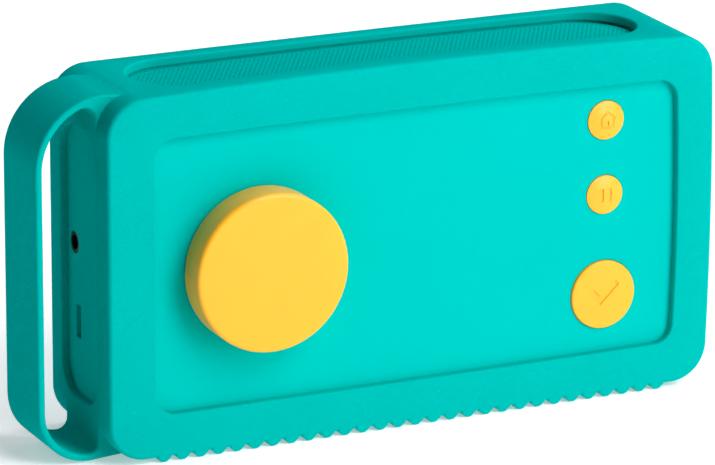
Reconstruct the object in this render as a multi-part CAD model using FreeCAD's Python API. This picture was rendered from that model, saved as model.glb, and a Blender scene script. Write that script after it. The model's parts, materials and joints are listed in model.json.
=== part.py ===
"""A children's audio story player in a soft silicone sleeve with a carry strap.

All lengths are millimetres. X runs along the player, Y from its front to its back, and Z up.
The origin is on the surface that the player stands on, under the middle of the sleeve.
"""
import FreeCAD
import Part

import math
import os

V = FreeCAD.Vector
X, Y, Z = V(1, 0, 0), V(0, 1, 0), V(0, 0, 1)

# Sleeve
SLEEVE_W = 161.5
SLEEVE_D = 38.8
SLEEVE_WALL = 2.4          # below the case and behind it
SIDE_WALL = 1.8            # left and right of the case
SLEEVE_LIP = 2.0           # in front of the front panel
SLEEVE_CORNER = 9.5
FRONT_ROUND = 1.1
REAR_ROUND = 3.0
FRONT_TOP = 90.05          # height of the ends of the front top edge
REAR_TOP = 90.9            # the same at the back
FRONT_CROWN = 1.7          # how far the middle of the front top edge stands above its ends
REAR_CROWN = 0.1
SIDE_CROWN = 0.9           # how far the right side bows out
RIB_COUNT = 29
RIB_PITCH = 4.78
RIB_SHIFT = 0.2            # X of the middle rib
RIB_H = 1.15
RIB_SLOPE = 40.0           # degrees between a foot rib's flank and the sleeve
RIB_TIP_R = 1.2            # radius between its flanks and its tip
RIB_FLAT = 0.5             # width of the flat on its tip
RIB_EDGE = 0.35

# Openings in the sleeve, as (low, high) pairs
WINDOW_X = (-68.6, 70.75)
WINDOW_Z = (11.85, 79.75)
WINDOW_CORNER = 5.0
WINDOW_CROWN = 0.55
WINDOW_SAG = 0.3           # the window's lower edge bows down by this
SPEAKER_X = (-67.0, 67.8)
SPEAKER_Y = (-12.6, 12.6)
BAY_Y = (-11.3, 10.7)      # side bay over the sockets
BAY_Z = (11.9, 79.9)
BAY_CORNER = 8.0
VOLUME_HOLE_R = 10.0
SOFT_LIP = 0.5
SOFT_EDGE = 0.6

# Carry strap
STRAP_Y = (-12.2, 8.7)
STRAP_Z = (0.35, 90.5)     # its lowest and highest outer points
STRAP_T = 1.85
STRAP_X = -96.1            # outer face of the straight run
STRAP_TOP_R = 17.6         # outer radius into the sleeve's top
STRAP_FOOT_R = 13.0        # outer radius into the sleeve's bottom
STRAP_ROOT = 2.8           # inner radius where it meets the sleeve's side
STRAP_EDGE = 0.7
STRAP_SINK = 9.0           # how far the strap runs on inside the sleeve's outline
STRAP_SLOPE = (0.45, 0.85) # how far its top and its foot slope into the sleeve over that length

# Hard case
FIT = 0.05                 # air between sleeve and case on every side
CASE_TOP = 88.4
CASE_CROWN = 0.9           # how far the middle of its top stands above its ends
CASE_CORNER = 7.1
CASE_WALL = 2.0
CASE_SPLIT = 14.9          # the rear cover starts here
CASE_EDGE = 0.5
SCREEN_WALL = 0.8          # thinned front wall that the screen shines through
BOSS_R = 3.0
PILOT_R = 1.1
CASE_SCREWS = [(-66, 16), (66, 16), (-66, 76), (66, 76), (-22, 9.5), (22, 9.5)]
BOARD_SCREWS = [(-57, 18), (-57, 60), (40, 17), (58.5, 61.5)]

# Selector dial
DIAL_X, DIAL_Z = -41.0, 45.8
DIAL_R = 19.7
DIAL_H = 8.75              # above the front panel
DIAL_GAP = 0.4             # between its rim and the panel
DIAL_EDGE = 1.0
SHAFT_R = 3.0
BUSHING_R = 3.5
RUNNING = 0.05             # radial clearance of a shaft in its bushing

# Push buttons: name, X, Z, radius, height of the rim above the panel, extra height of the dome
BUTTON_X = 52.1
BUTTONS = [
    ("home", BUTTON_X, 71.0, 4.9, 0.25, 0.75),
    ("pause", BUTTON_X, 52.0, 4.9, 0.25, 0.75),
    ("confirm", BUTTON_X, 26.3, 8.75, 0.7, 0.25),
]
BUTTON_GAP = 0.15
SIGN_DEPTH = 0.35          # depth of a button's sunk sign at the middle of its face
FLANGE = 1.0               # how far a button's hidden flange stands out

# Volume knob on the right side
VOLUME_Z = 46.0
VOLUME_R = 8.0
VOLUME_TIP = 88.0          # X of its outer face
POT_BACK = 69.6            # X of the potentiometer's back

# Sockets on the left side
JACK_Y, JACK_Z = 6.4, 49.5
JACK_BORE_R = 1.8
JACK_NOSE_R = 2.65
JACK_BORE_DEPTH = 14.0
USB_Y, USB_Z = 4.3, 30.15
USB_W, USB_T = 8.94, 3.26
USB_SLOT_W, USB_SLOT_T = 8.4, 3.0
USB_DEPTH = 1.5            # how far the socket's mouth lies below the case's face

# Electronics
BOARD_FRONT = -8.0
BOARD_T = 1.6
BOARD_X = (-61.0, 62.0)
BOARD_Z = (13.5, 65.0)
SCREEN_X, SCREEN_Z = 12.75, 46.35
SCREEN_SIZE = (48.0, 33.4)
GLASS = (54.0, 40.0)       # outline of the screen module
GLASS_T = 1.0
BACKLIGHT_T = 2.6
STANDOFF_R = 2.4
SWITCH_SIZE, SWITCH_H = 6.0, 3.5
PLUNGER_R = 1.7
PLUNGER_H = 0.9            # how far a switch's plunger stands out of its body
PORT_BOARD_Z = (22.0, 58.5)
CARD_X, CARD_Z = 22.0, 40.0        # middle of the memory card's socket
BATTERY_X, BATTERY_Y, BATTERY_Z = (-20.0, 36.0), (5.4, 13.5), (22.0, 58.0)
LEAD_R = 0.5

# Speaker
GRILLE_T = 0.8
GRILLE_DROP = 0.6          # how far the grille lies below the top of the case
GRILLE_GAP = 0.5           # open groove round the grille
GRILLE_UNDERCUT = 0.6      # how far the case's recess reaches under the sleeve
GRILLE_LEDGE = 1.2         # width of the ledge that the grille rests on
DRIVER_L, DRIVER_W = 40.0, 28.0
GASKET_T = 1.0

# Fasteners
HEAD_R, HEAD_H = 2.3, 1.4
NUT_ACROSS, NUT_T = 10.0, 1.8
WASHER_R, WASHER_T = 5.6, 0.4
BUSHING_OUT = 3.0          # how far a threaded bushing stands out of the case

# Planes that follow from the sizes above
LEFT, RIGHT = -SLEEVE_W / 2, SLEEVE_W / 2
FRONT, REAR = -SLEEVE_D / 2, SLEEVE_D / 2
BASE = RIB_H
TOP = max(FRONT_TOP + FRONT_CROWN, REAR_TOP + REAR_CROWN)
PANEL = FRONT + SLEEVE_LIP + FIT
BACK = REAR - SLEEVE_WALL - FIT
INSIDE_FRONT = PANEL + CASE_WALL
CASE_LEFT, CASE_RIGHT = LEFT + SIDE_WALL + FIT, RIGHT - SIDE_WALL - FIT
CASE_BASE = BASE + SLEEVE_WALL + FIT
INSIDE_LEFT, INSIDE_RIGHT = CASE_LEFT + CASE_WALL, CASE_RIGHT - CASE_WALL
INSIDE_TOP = CASE_TOP - CASE_WALL
BOARD_REAR = BOARD_FRONT + BOARD_T
PORT_BOARD_Y = USB_Y - USB_T / 2          # rear face of the socket board
DRIVER_TOP = INSIDE_TOP + CASE_CROWN - GASKET_T - 0.1
SIDE_FACE = CASE_RIGHT + SIDE_CROWN       # the case's right side at the volume knob
STEM_END = BOARD_FRONT - SWITCH_H - PLUNGER_H


# ---------------------------------------------------------------- helpers

def block(low, high):
    """A plain box between two corners."""
    low, high = V(*low), V(*high)
    size = high - low
    return Part.makeBox(size.x, size.y, size.z, low)


def rod(radius, start, end):
    """A cylinder between two points."""
    start, end = V(*start), V(*end)
    return Part.makeCylinder(radius, (end - start).Length, start, end - start)


def tube(outer, inner, start, end):
    return rod(outer, start, end).cut(rod(inner, start, end))


def edges_along(shape, axis):
    """Straight edges of a shape that run along an axis."""
    found = []
    for edge in shape.Edges:
        if edge.Curve.TypeId == "Part::GeomLine":
            if abs(edge.Curve.Direction.dot(axis)) > 0.999:
                found.append(edge)
    return found


def reach_of(edge):
    """The lowest and highest corner of an edge's box."""
    box = edge.BoundBox
    return (box.XMin, box.YMin, box.ZMin), (box.XMax, box.YMax, box.ZMax)


def edges_at(shape, axis, place):
    """Edges that lie in the plane axis = place."""
    i = "xyz".index(axis)
    found = []
    for edge in shape.Edges:
        low, high = reach_of(edge)
        if abs(low[i] - place) < 0.01 and abs(high[i] - place) < 0.01:
            found.append(edge)
    return found


def edges_within(shape, room):
    """Edges that lie wholly inside a box given by two corners."""
    found = []
    for edge in shape.Edges:
        low, high = reach_of(edge)
        if all(room[0][i] < low[i] and high[i] < room[1][i] for i in range(3)):
            found.append(edge)
    return found


def soften(shape, radius, edges):
    return shape.makeFillet(radius, edges)


def rounded_block(low, high, axis, corner):
    """A box whose four edges along one axis are rounded."""
    solid = block(low, high)
    return soften(solid, corner, edges_along(solid, axis))


def bowed(a, b, bulge):
    """The edge from a to b, bowed out in the middle by a vector."""
    if bulge.Length < 1e-6:
        return Part.LineSegment(a, b).toShape()
    return Part.Arc(a, (a + b) * 0.5 + bulge, b).toShape()


def crowned_outline(x, z, y, top, sag=0.0):
    """A four-sided outline across Y, whose top, right side and bottom bow outwards."""
    a, b = V(x[0], y, z[0]), V(x[1], y, z[0])
    c, d = V(x[1], y, z[1]), V(x[0], y, z[1])
    sides = [bowed(a, b, Z * -sag), bowed(b, c, X * SIDE_CROWN), bowed(c, d, Z * top), bowed(d, a, V())]
    return Part.Wire(sides)


def crowned_slab(x, z, y, corner, top, sag=0.0):
    """A plate across Y with the outline above and rounded corners."""
    solid = Part.Face(crowned_outline(x, z, y[0], top, sag)).extrude(Y * (y[1] - y[0]))
    return soften(solid, corner, edges_along(solid, Y))


def oval_outline(length, width, centre):
    """A level outline with two straight sides and two round ends, long side along X."""
    r, half = width / 2, (length - width) / 2
    cx, cy, cz = centre
    a, b = V(cx - half, cy - r, cz), V(cx + half, cy - r, cz)
    c, d = V(cx + half, cy + r, cz), V(cx - half, cy + r, cz)
    edges = [Part.LineSegment(a, b).toShape(), Part.Arc(b, V(cx + half + r, cy, cz), c).toShape(),
             Part.LineSegment(c, d).toShape(), Part.Arc(d, V(cx - half - r, cy, cz), a).toShape()]
    return Part.Wire(edges)


def racetrack(length, width, centre, height):
    """An upright plate with the outline above."""
    return Part.Face(oval_outline(length, width, centre)).extrude(Z * height)


def speaker_slot(grow, z):
    """The long rounded opening over the speaker, grown all round and cut between two heights."""
    length = SPEAKER_X[1] - SPEAKER_X[0] + 2 * grow
    width = SPEAKER_Y[1] - SPEAKER_Y[0] + 2 * grow
    centre = (sum(SPEAKER_X) / 2, sum(SPEAKER_Y) / 2, z[0])
    return racetrack(length, width, centre, z[1] - z[0])


def dome(radius, rim_y, height, centre_x, centre_z):
    """A shallow spherical cap that bulges to the front from the plane Y = rim_y."""
    ball_r = (radius ** 2 + height ** 2) / (2 * height)
    ball = Part.makeSphere(ball_r, V(centre_x, rim_y - height + ball_r, centre_z))
    return ball.common(rod(radius, (centre_x, rim_y - height - 1, centre_z), (centre_x, rim_y, centre_z)))


def hexagon(across, start, end):
    """A hexagonal bar between two points on an axis along X or Y."""
    start, end = V(*start), V(*end)
    axis = end - start
    first = Z
    second = axis.cross(first).normalize()
    r = across / math.sqrt(3)
    corners = []
    for k in range(7):
        turn = math.radians(60 * k)
        corners.append(start + first * (r * math.cos(turn)) + second * (r * math.sin(turn)))
    return Part.Face(Part.makePolygon(corners)).extrude(axis)


def joined(shapes):
    """One solid from overlapping shapes."""
    return shapes[0].multiFuse(shapes[1:]).removeSplitter()


def save(name, shape):
    """Writes the node's solids to its own STEP file."""
    solids = shape.Solids
    assert solids and all(solid.isValid() for solid in solids), name
    whole = solids[0] if len(solids) == 1 else Part.makeCompound(solids)
    whole.exportStep(os.path.join("parts", name + ".step"))
    print(name, len(solids), round(whole.Volume, 1))


# ---------------------------------------------------------------- sleeve

def rib_outline(y, inset):
    """A foot rib's profile: sloping flanks and a rounded tip with a narrow flat, drawn in by an inset."""
    tip, height, radius = RIB_FLAT / 2, RIB_H - inset, RIB_TIP_R - inset
    slope = math.radians(RIB_SLOPE)

    def on_bend(turn):
        return V(tip + radius * math.sin(turn), y, radius - radius * math.cos(turn) - height)

    bend, knee, edge = on_bend(slope), on_bend(slope / 2), on_bend(0)
    half = bend.x - bend.z / math.tan(slope)
    root = FRONT_ROUND + 0.1
    right = [V(half, y, root), V(half, y, 0), bend, knee, edge]
    left = [V(-point.x, y, point.z) for point in right]

    def line(a, b):
        return Part.LineSegment(a, b).toShape()

    return Part.Wire([line(left[0], right[0]), line(right[0], right[1]), line(right[1], bend),
                      Part.Arc(bend, knee, edge).toShape(), line(edge, left[4]),
                      Part.Arc(left[4], left[3], left[2]).toShape(), line(left[2], left[1]),
                      line(left[1], left[0])])


def foot_rib(x):
    """One anti-slip rib under the sleeve, flush with its front, where it is bevelled."""
    start, stop = FRONT + RIB_EDGE, REAR - REAR_ROUND * 0.6
    bevel = Part.makeLoft([rib_outline(FRONT, RIB_EDGE), rib_outline(start, 0)], True, True)
    bar = Part.Face(rib_outline(start, 0)).extrude(Y * (stop - start))
    rib = joined([bevel, bar])
    rib.translate(V(x, 0, BASE))
    return rib


def strap():
    """The carry strap: a flat band that leaves the top, runs down the left side and joins the bottom."""
    inner = STRAP_X + STRAP_T
    top_centre = V(STRAP_X + STRAP_TOP_R, 0, STRAP_Z[1] - STRAP_TOP_R)
    foot_centre = V(STRAP_X + STRAP_FOOT_R, 0, STRAP_Z[0] + STRAP_FOOT_R)
    sink = LEFT + STRAP_SINK
    slant = math.sqrt(0.5)

    def arc(centre, r, corner):
        """A quarter turn about a centre, from pointing up or down to pointing left."""
        ends = V(centre.x, 0, centre.z + r * corner), V(centre.x - r, 0, centre.z)
        middle = V(centre.x - r * slant, 0, centre.z + r * slant * corner)
        return ends, Part.Arc(ends[0], middle, ends[1]).toShape()

    def line(a, b):
        return Part.LineSegment(a, b).toShape()

    (top_end, top_side), top_arc = arc(top_centre, STRAP_TOP_R, 1)
    (foot_end, foot_side), foot_arc = arc(foot_centre, STRAP_FOOT_R, -1)
    high, low = V(sink, 0, STRAP_Z[1] - STRAP_SLOPE[0]), V(sink, 0, STRAP_Z[0] + STRAP_SLOPE[1])
    outside = [line(high, top_end), top_arc, line(top_side, foot_side), foot_arc,
               line(foot_end, low), line(low, high)]
    plate = Part.Face(Part.Wire(Part.__sortEdges__(outside))).extrude(Y * (STRAP_Y[1] - STRAP_Y[0]))

    top_r, foot_r = STRAP_TOP_R - STRAP_T, STRAP_FOOT_R - STRAP_T
    reach = LEFT - top_centre.x
    root = V(LEFT, 0, top_centre.z + math.sqrt(top_r ** 2 - reach ** 2))
    turn = (math.atan2(root.z - top_centre.z, reach) + math.pi) / 2
    bend = top_centre + V(top_r * math.cos(turn), 0, top_r * math.sin(turn))
    side_top, side_foot = V(inner, 0, top_centre.z), V(inner, 0, foot_centre.z)
    (foot_in, foot_in_side), foot_in_arc = arc(foot_centre, foot_r, -1)
    corner = V(LEFT, 0, foot_in.z)
    inside = [Part.Arc(root, bend, side_top).toShape(), line(side_top, side_foot), foot_in_arc,
              line(foot_in, corner), line(corner, root)]
    hole = Part.Face(Part.Wire(Part.__sortEdges__(inside))).extrude(Y * (STRAP_Y[1] - STRAP_Y[0]))
    roots = [edge for edge in edges_along(hole, Y) if abs(edge.BoundBox.XMin - LEFT) < 0.01]
    hole = soften(hole, STRAP_ROOT, roots)

    band = plate.cut(hole)
    band.translate(Y * STRAP_Y[0])
    rims = edges_at(band, "y", STRAP_Y[0]) + edges_at(band, "y", STRAP_Y[1])
    rims = [e for e in rims if e.BoundBox.XMax < sink - 0.01]
    return soften(band, STRAP_EDGE, rims)


def sleeve():
    front = crowned_outline((LEFT, RIGHT), (BASE, FRONT_TOP), FRONT, FRONT_CROWN)
    rear = crowned_outline((LEFT, RIGHT), (BASE, REAR_TOP), REAR, REAR_CROWN)
    body = Part.makeLoft([front, rear], True, True)
    corners = [edge for edge in body.Edges if edge.BoundBox.YLength > SLEEVE_D - 0.1]
    body = soften(body, SLEEVE_CORNER, corners)
    body = soften(body, FRONT_ROUND, edges_at(body, "y", FRONT))
    body = soften(body, REAR_ROUND, edges_at(body, "y", REAR))
    through = (FRONT - 5, REAR + 5)
    body = body.cut(crowned_slab(WINDOW_X, WINDOW_Z, through, WINDOW_CORNER, WINDOW_CROWN, WINDOW_SAG))
    for y in (FRONT, REAR):
        lip = ((LEFT + 5, y - 0.1, BASE + 5), (RIGHT - 5, y + 0.1, TOP - 5))
        body = soften(body, SOFT_LIP, edges_within(body, lip))
    first = RIB_SHIFT - (RIB_COUNT - 1) / 2 * RIB_PITCH
    ribs = [foot_rib(first + k * RIB_PITCH) for k in range(RIB_COUNT)]
    body = joined([body, strap()] + ribs)
    body = body.cut(case_slab((FRONT + SLEEVE_LIP, REAR - SLEEVE_WALL), -FIT))
    body = body.cut(speaker_slot(0, (INSIDE_TOP - 5, TOP + 5)))
    above = ((SPEAKER_X[0] - 1, SPEAKER_Y[0] - 1, FRONT_TOP - 0.3),
             (SPEAKER_X[1] + 1, SPEAKER_Y[1] + 1, TOP + 1))
    body = soften(body, SOFT_EDGE, edges_within(body, above))
    bay = rounded_block((LEFT - 1, BAY_Y[0], BAY_Z[0]), (INSIDE_LEFT, BAY_Y[1], BAY_Z[1]), X, BAY_CORNER)
    body = body.cut(bay)
    beside = ((LEFT - 0.1, BAY_Y[0] - 1, BAY_Z[0] - 1), (LEFT + 0.1, BAY_Y[1] + 1, BAY_Z[1] + 1))
    body = soften(body, SOFT_EDGE, edges_within(body, beside))
    body = body.cut(rod(VOLUME_HOLE_R, (INSIDE_RIGHT, 0, VOLUME_Z), (RIGHT + 5, 0, VOLUME_Z)))
    reach = VOLUME_HOLE_R + 1
    around = ((RIGHT + 0.1, -reach, VOLUME_Z - reach), (RIGHT + 2, reach, VOLUME_Z + reach))
    return soften(body, SOFT_EDGE, edges_within(body, around))


# ---------------------------------------------------------------- case

def case_slab(y, inset=0.0):
    """A plate with the outline of the hard case, drawn in by an inset."""
    x = (CASE_LEFT + inset, CASE_RIGHT - inset)
    z = (CASE_BASE + inset, CASE_TOP - inset)
    return crowned_slab(x, z, y, CASE_CORNER - inset, CASE_CROWN)


def front_shell():
    """The deep front half: front panel, side walls, screw bosses, button collars and standoffs."""
    shell = case_slab((PANEL, CASE_SPLIT))
    shell = soften(shell, CASE_EDGE, edges_at(shell, "y", PANEL))
    shell = shell.cut(case_slab((INSIDE_FRONT, CASE_SPLIT + 1), CASE_WALL))
    extra = []
    for x, z in CASE_SCREWS:
        extra.append(rod(BOSS_R, (x, INSIDE_FRONT - 0.5, z), (x, CASE_SPLIT, z)))
    for x, z in BOARD_SCREWS:
        extra.append(rod(STANDOFF_R, (x, INSIDE_FRONT - 0.5, z), (x, BOARD_FRONT, z)))
    for _, x, z, radius, _, _ in BUTTONS:
        room = radius + FLANGE + 0.2
        extra.append(tube(room + 1.0, room, (x, INSIDE_FRONT - 0.5, z), (x, INSIDE_FRONT + 2.4, z)))
    extra.extend(screen_guides())
    extra.extend(port_rails())
    shell = joined([shell] + extra)
    for x, z in CASE_SCREWS:
        shell = shell.cut(rod(PILOT_R, (x, CASE_SPLIT - 12, z), (x, CASE_SPLIT + 1, z)))
    for x, z in BOARD_SCREWS:
        shell = shell.cut(rod(PILOT_R, (x, INSIDE_FRONT + 0.5, z), (x, BOARD_FRONT + 1, z)))
    for _, x, z, radius, _, _ in BUTTONS:
        shell = shell.cut(rod(radius + BUTTON_GAP, (x, PANEL - 1, z), (x, INSIDE_FRONT + 0.1, z)))
    shell = shell.cut(rod(BUSHING_R + 0.1, (DIAL_X, PANEL - 1, DIAL_Z), (DIAL_X, INSIDE_FRONT + 1, DIAL_Z)))
    shell = shell.cut(rod(BUSHING_R + 0.1, (INSIDE_RIGHT - 1, 0, VOLUME_Z), (RIGHT, 0, VOLUME_Z)))
    shell = shell.cut(rod(JACK_NOSE_R + 0.1, (LEFT, JACK_Y, JACK_Z), (INSIDE_LEFT + 1, JACK_Y, JACK_Z)))
    shell = shell.cut(usb_slot(LEFT, INSIDE_LEFT + 1, USB_SLOT_T, USB_SLOT_W, 0.5))
    shell = shell.cut(usb_slot(CASE_LEFT + USB_DEPTH - 0.1, INSIDE_LEFT + 1, USB_T + 0.2, USB_W + 0.2, 1.5))
    shell = shell.cut(screen_pocket())
    shell = shell.cut(speaker_slot(GRILLE_LEDGE * -1, (INSIDE_TOP - 3, TOP)))
    floor = case_slab((FRONT, REAR), GRILLE_DROP + GRILLE_T + FIT)
    recess = speaker_slot(GRILLE_UNDERCUT, (INSIDE_TOP - 3, TOP)).cut(floor)
    return shell.cut(recess)


def screen_pocket():
    """The thinned place in the front wall, as large as the screen's picture area."""
    w, h = SCREEN_SIZE[0] / 2, SCREEN_SIZE[1] / 2
    return block((SCREEN_X - w, PANEL + SCREEN_WALL, SCREEN_Z - h),
                 (SCREEN_X + w, INSIDE_FRONT + 0.1, SCREEN_Z + h))


def usb_slot(x0, x1, thickness, width, corner):
    """An upright slot along X on the charging socket's axis."""
    return rounded_block((x0, USB_Y - thickness / 2, USB_Z - width / 2),
                         (x1, USB_Y + thickness / 2, USB_Z + width / 2), X, corner)


def screen_guides():
    """Short ribs behind the front panel that centre the screen."""
    x0, x1 = SCREEN_X - GLASS[0] / 2 - 0.3, SCREEN_X + GLASS[0] / 2 + 0.3
    z0, z1 = SCREEN_Z - GLASS[1] / 2 - 0.3, SCREEN_Z + GLASS[1] / 2 + 0.3
    y = (INSIDE_FRONT - 0.5, INSIDE_FRONT + 3.0)
    ribs = []
    for z in (z0 + 6, z1 - 12):
        ribs.append(block((x0 - 1.2, y[0], z), (x0, y[1], z + 6)))
        ribs.append(block((x1, y[0], z), (x1 + 1.2, y[1], z + 6)))
    for x in (x0 + 8, x1 - 14):
        ribs.append(block((x, y[0], z0 - 1.2), (x + 6, y[1], z0)))
    return ribs


def port_rails():
    """Two grooved rails on the left wall that hold the small socket board."""
    rails = []
    front = PORT_BOARD_Y - BOARD_T
    for z in (PORT_BOARD_Z[0], PORT_BOARD_Z[1] - 3):
        rail = block((INSIDE_LEFT - 0.5, front - 1.5, z), (INSIDE_LEFT + 3, PORT_BOARD_Y + 1.5, z + 3))
        groove = block((INSIDE_LEFT - 0.1, front - FIT, z - 1), (INSIDE_LEFT + 4, PORT_BOARD_Y + FIT, z + 4))
        rails.append(rail.cut(groove))
    return rails


def rear_cover():
    """The flat back of the case, with a locating rim, sunk screw heads and a recessed plain panel."""
    cover = case_slab((CASE_SPLIT, BACK))
    cover = soften(cover, CASE_EDGE, edges_at(cover, "y", BACK))
    rim = case_slab((CASE_SPLIT - 1.5, CASE_SPLIT + 0.5), CASE_WALL + 0.1)
    rim = rim.cut(case_slab((CASE_SPLIT - 2, CASE_SPLIT + 1), CASE_WALL + 1.3))
    bosses = [rod(BOSS_R + 0.4, (x, CASE_SPLIT - 2, z), (x, CASE_SPLIT, z)) for x, z in CASE_SCREWS]
    rim = rim.cut(Part.makeCompound(bosses))
    slot = speaker_slot(2, (INSIDE_TOP - 5, TOP))
    rim = rim.cut(slot)
    tray = block((BATTERY_X[0] - 2, BATTERY_Y[1] - 3, BATTERY_Z[0] - 2),
                 (BATTERY_X[1] + 2, CASE_SPLIT + 0.5, BATTERY_Z[1] + 2))
    tray = tray.cut(block((BATTERY_X[0] - 0.5, 0, BATTERY_Z[0] - 0.5),
                          (BATTERY_X[1] + 0.5, REAR, BATTERY_Z[1] + 0.5)))
    tray = tray.cut(block((BATTERY_X[0] + 8, 0, 0), (BATTERY_X[1] - 8, REAR, TOP)))
    cover = joined([cover, rim, tray])
    for x, z in CASE_SCREWS:
        cover = cover.cut(rod(PILOT_R + 0.4, (x, CASE_SPLIT - 1, z), (x, BACK + 1, z)))
        cover = cover.cut(rod(HEAD_R + 0.3, (x, BACK - HEAD_H, z), (x, BACK + 1, z)))
    panel = rounded_block((-34, BACK - 0.4, 28), (34, BACK + 1, 62), Y, 4.0)
    return cover.cut(panel)


def case_screws():
    """Six pan-head screws through the rear cover into the bosses."""
    screws = []
    for x, z in CASE_SCREWS:
        screws.append(screw((x, BACK - HEAD_H, z), Y * -1, HEAD_R, HEAD_H - 0.3, PILOT_R, 11.0))
    return Part.makeCompound(screws)


def screw(seat, direction, head_r, head_h, shank_r, length):
    """A pan-head screw whose head sits on a seat and whose shank points in a direction."""
    seat = V(*seat)
    head = Part.makeCylinder(head_r, head_h, seat, direction * -1)
    crown = [e for e in head.Edges if e.Curve.TypeId == "Part::GeomCircle"
             and (e.CenterOfMass - seat).Length > head_h * 0.9]
    head = head.makeFillet(head_h * 0.4, crown)
    shank = Part.makeCylinder(shank_r, length, seat, direction)
    top = seat - direction * head_h
    across = Z
    other = direction.cross(across)
    solid = head.fuse(shank)
    for along, side in ((across, other), (other, across)):
        corner = top - along * head_r * 0.6 - side * 0.25
        edges = [corner, corner + along * head_r * 1.2, corner + along * head_r * 1.2 + side * 0.5,
                 corner + side * 0.5, corner]
        slot = Part.Face(Part.makePolygon(edges)).extrude(direction * head_h * 0.5)
        solid = solid.cut(slot)
    return solid


# ---------------------------------------------------------------- speaker

def speaker_grille():
    """The plate over the speaker, sunk in the case's top, with sound holes above the driver."""
    plate = speaker_slot(-GRILLE_GAP, (INSIDE_TOP - 3, TOP)).common(case_slab((FRONT, REAR), GRILLE_DROP))
    plate = plate.cut(case_slab((FRONT, REAR), GRILLE_DROP + GRILLE_T))
    pitch, rows, columns = 2.6, 7, 13
    holes = []
    for row in range(-(rows // 2), rows // 2 + 1):
        shift = pitch / 2 if row % 2 else 0.0
        for column in range(-(columns // 2), columns // 2 + 1):
            x = column * pitch + shift
            y = row * pitch * math.sqrt(0.75)
            if abs(x) < DRIVER_L / 2 - 2:
                holes.append(rod(0.7, (x, y, INSIDE_TOP - 3), (x, y, TOP)))
    return plate.cut(Part.makeCompound(holes))


def grille_cloth():
    """The thin dust cloth glued under the grille."""
    depth = GRILLE_DROP + GRILLE_T + FIT
    cloth = speaker_slot(-GRILLE_LEDGE - 0.2, (INSIDE_TOP - 3, TOP))
    cloth = cloth.common(case_slab((FRONT, REAR), depth))
    return cloth.cut(case_slab((FRONT, REAR), depth + 0.35))


def oval_ring(length, width, wall, z, height):
    ring = racetrack(length, width, (0, 0, z), height)
    return ring.cut(racetrack(length - 2 * wall, width - 2 * wall, (0, 0, z - 1), height + 2))


def speaker_gasket():
    return oval_ring(DRIVER_L, DRIVER_W, 2.0, DRIVER_TOP, GASKET_T)


def speaker_basket():
    """The driver's pressed metal basket: rim, open bucket and bottom plate."""
    rim = oval_ring(DRIVER_L, DRIVER_W, 2.6, DRIVER_TOP - 1.0, 1.0)
    bucket = oval_ring(DRIVER_L - 4, DRIVER_W - 4, 0.8, DRIVER_TOP - 7.0, 6.2)
    floor = racetrack(DRIVER_L - 4, DRIVER_W - 4, (0, 0, DRIVER_TOP - 7.8), 0.8)
    floor = floor.cut(rod(5.0, (0, 0, DRIVER_TOP - 9), (0, 0, DRIVER_TOP)))
    basket = joined([rim, bucket, floor])
    for x in (-9, 9):
        window = rounded_block((x - 5, -DRIVER_W, DRIVER_TOP - 6.2), (x + 5, DRIVER_W, DRIVER_TOP - 2.2),
                               Y, 1.2)
        basket = basket.cut(window)
    return basket


def speaker_cone():
    """The paper cone with its dust cap, and the voice coil former below it."""
    length, width = DRIVER_L - 12, DRIVER_W - 12
    top, low = DRIVER_TOP - 0.8, DRIVER_TOP - 5.0
    outside = Part.makeLoft([oval_outline(length, width, (0, 0, top)),
                             oval_outline(11.2, 11.0, (0, 0, low))], True, True)
    inside = Part.makeLoft([oval_outline(length - 1, width - 1, (0, 0, top + 0.1)),
                            oval_outline(10.2, 10.0, (0, 0, low + 0.4))], True, True)
    former = tube(4.8, 4.4, (0, 0, low - 5.5), (0, 0, low + 0.4))
    cap_r, cap_h = 5.3, 1.6
    base = low + 0.2
    ball_r = (cap_r ** 2 + cap_h ** 2) / (2 * cap_h)
    ball = Part.makeSphere(ball_r, V(0, 0, base + cap_h - ball_r))
    cap = ball.common(rod(cap_r, (0, 0, base), (0, 0, base + cap_h + 1)))
    return joined([outside.cut(inside), former, cap])


def speaker_surround():
    """The rubber roll between cone and basket."""
    ring = oval_ring(DRIVER_L - 5.4, DRIVER_W - 5.4, 3.2, DRIVER_TOP - 0.8, 0.8)
    tops = edges_at(ring, "z", DRIVER_TOP)
    return soften(ring, 0.6, tops)


def speaker_magnet():
    return tube(9.0, 5.6, (0, 0, DRIVER_TOP - 12.8), (0, 0, DRIVER_TOP - 7.8))


def speaker_yoke():
    """The steel back plate and centre pole behind the magnet."""
    plate = rod(9.4, (0, 0, DRIVER_TOP - 14.3), (0, 0, DRIVER_TOP - 12.8))
    pole = rod(4.0, (0, 0, DRIVER_TOP - 13.0), (0, 0, DRIVER_TOP - 6.4))
    return joined([plate, pole])


# ---------------------------------------------------------------- selector dial

def selector_dial():
    """The large dial: a cup with a hub, and stiffening ribs between hub and rim."""
    rim, face = PANEL - DIAL_GAP, PANEL - DIAL_H
    centre = (DIAL_X, DIAL_Z)
    body = disc(DIAL_R, centre, rim, face)
    body = soften(body, DIAL_EDGE, edges_at(body, "y", face))
    body = soften(body, 0.4, edges_at(body, "y", rim))
    ceiling = face + 2.2
    hollow = disc(DIAL_R - 2.0, centre, rim + 1, ceiling)
    hub_end = PANEL - BUSHING_OUT - 0.4
    hub = disc(5.5, centre, hub_end, ceiling - 0.5)
    body = body.cut(hollow)
    ribs = []
    for k in range(6):
        rib = block((4.5, ceiling - 0.5, -0.6), (DIAL_R - 1.0, ceiling + 2.2, 0.6))
        rib.rotate(V(), Y, 60 * k + 30)
        rib.translate(V(DIAL_X, 0, DIAL_Z))
        ribs.append(rib)
    body = joined([body, hub] + ribs)
    return body.cut(shaft_end(SHAFT_R + 0.02, centre, hub_end + 0.1, face + 1.0))


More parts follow.
